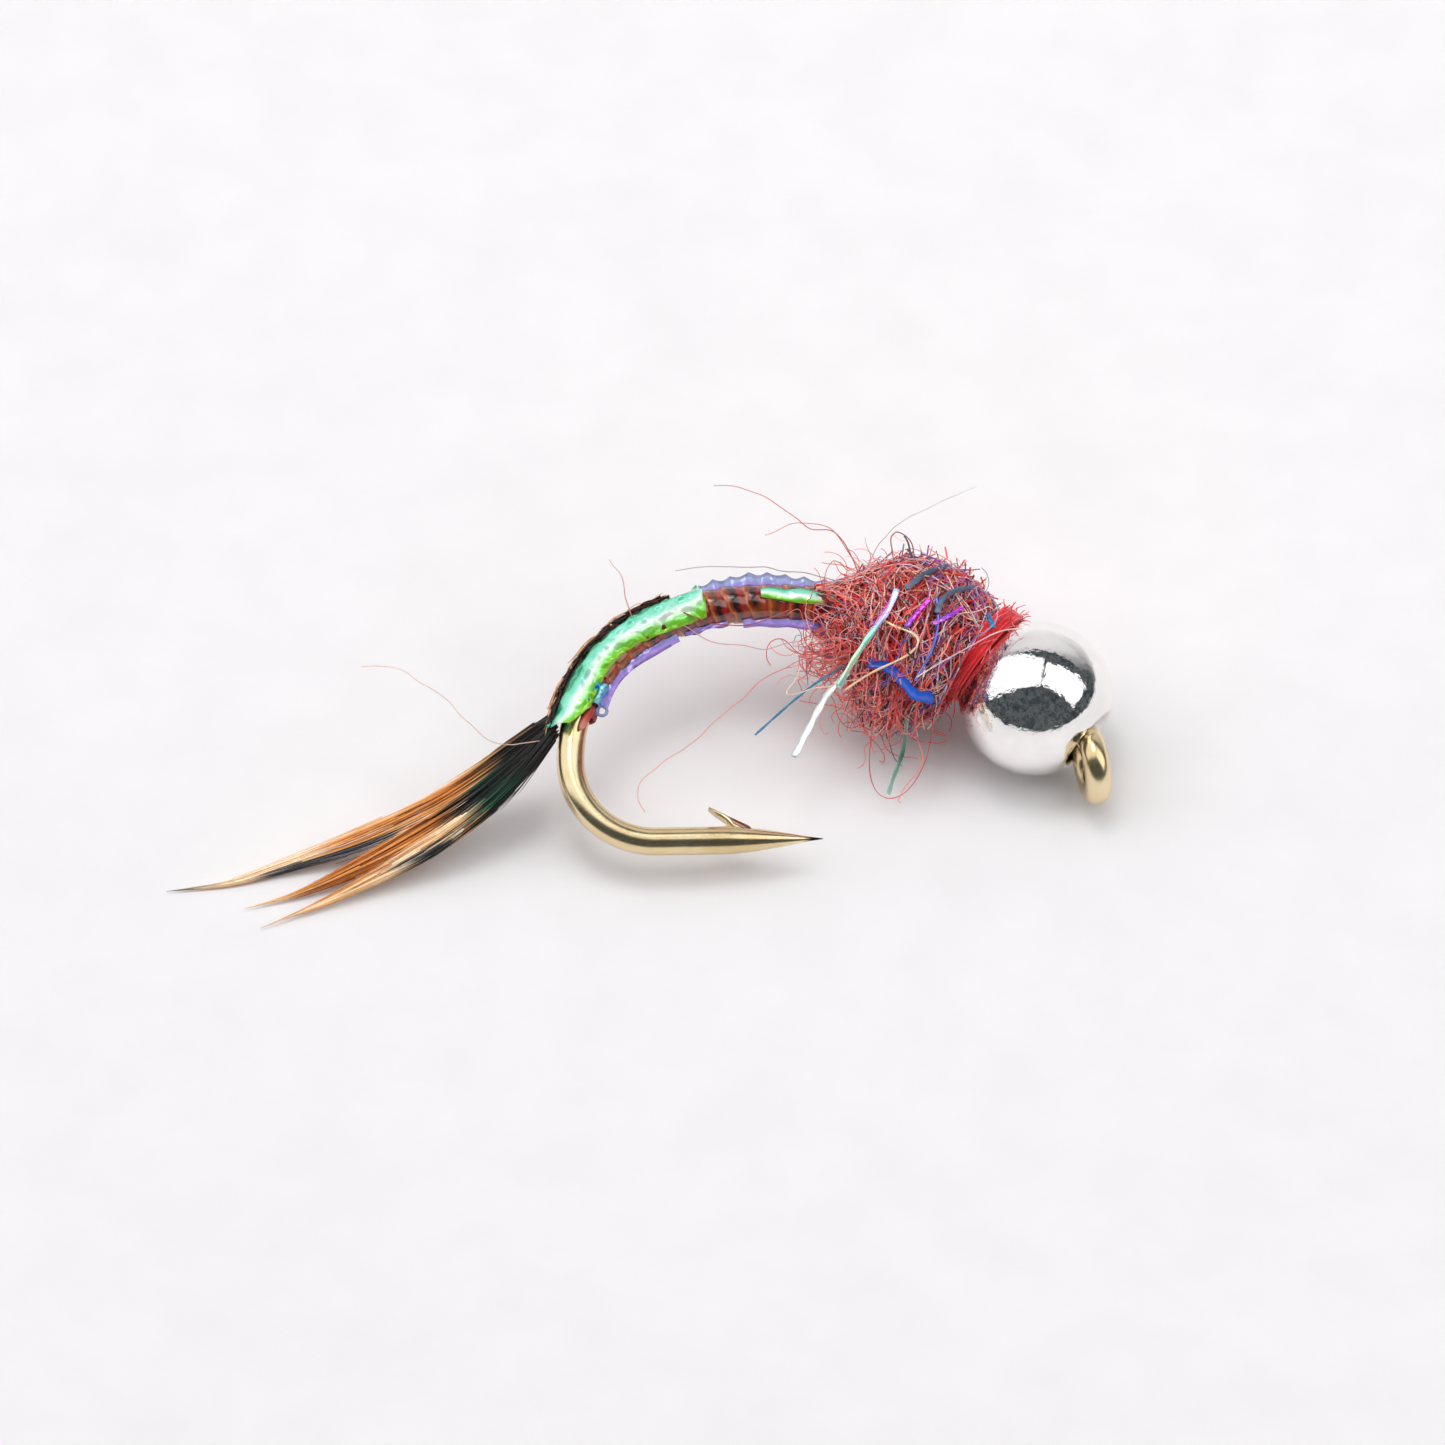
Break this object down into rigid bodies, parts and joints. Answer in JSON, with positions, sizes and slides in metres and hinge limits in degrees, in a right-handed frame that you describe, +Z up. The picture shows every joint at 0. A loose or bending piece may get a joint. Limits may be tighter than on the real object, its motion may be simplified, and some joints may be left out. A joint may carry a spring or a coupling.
{
  "type": "bead-head nymph fishing fly",
  "caption": "Nymph fishing fly tied on a curved down-eye barbed hook, with a metal bead behind the eye, a dubbed thorax, a film-wrapped abdomen and a feather-fibre tail.",
  "frame": {"origin": "centre of the hook's ring eye, where a line is tied", "axes": "+X runs from the tail to the eye, +Z is up from the table that the fly lies on, +Y is towards the arched back of the hook"},
  "size_m": [0.0171, 0.0068, 0.0034],
  "materials": {
    "hook": "polished gold plate",
    "bead": "mirror polished silver",
    "thread_collar": "waxed red tying thread",
    "thread_base": "waxed dark red tying thread",
    "pearl_film": "translucent pearl film, green to violet sheen",
    "dubbing": "loose curly red, salmon and violet fibres",
    "tail_feather": "barbed brown and black feather fibre",
    "blue_flash": "flat metallic blue film",
    "mint_flash": "flat mint and silver film",
    "violet_flash": "flat magenta and violet film",
    "gold_flash": "cream and gold film",
    "teal_flash": "fine teal fibre",
    "white_flash": "flat white and mint film"
  },
  "bodies": {
    "root": {"hook": "hook", "bead": "bead", "thread_base": "thread_base", "thorax_core": "thread_base", "thread_collar": "thread_collar", "whip_finish": "thread_collar", "pearl_body_wrap": "pearl_film", "pearl_back_strip": "pearl_film", "tail_tie": "thread_base", "thread_tag": "thread_collar", "pearl_tag_loop": "pearl_film", "thorax_dubbing": "dubbing", "blue_flash_strand": "blue_flash", "mint_flash_strand": "mint_flash", "violet_flash_strand": "violet_flash", "gold_flash_strand": "gold_flash", "teal_flash_strand": "teal_flash", "white_flash_strand": "white_flash", "tail_fibre_1": "tail_feather", "tail_fibre_2": "tail_feather", "tail_fibre_3": "tail_feather", "tail_fibre_4": "tail_feather", "tail_fibre_5": "tail_feather", "tail_fibre_6": "tail_feather", "tail_fibre_7": "tail_feather", "tail_fibre_8": "tail_feather"}
  },
  "joints": []
}
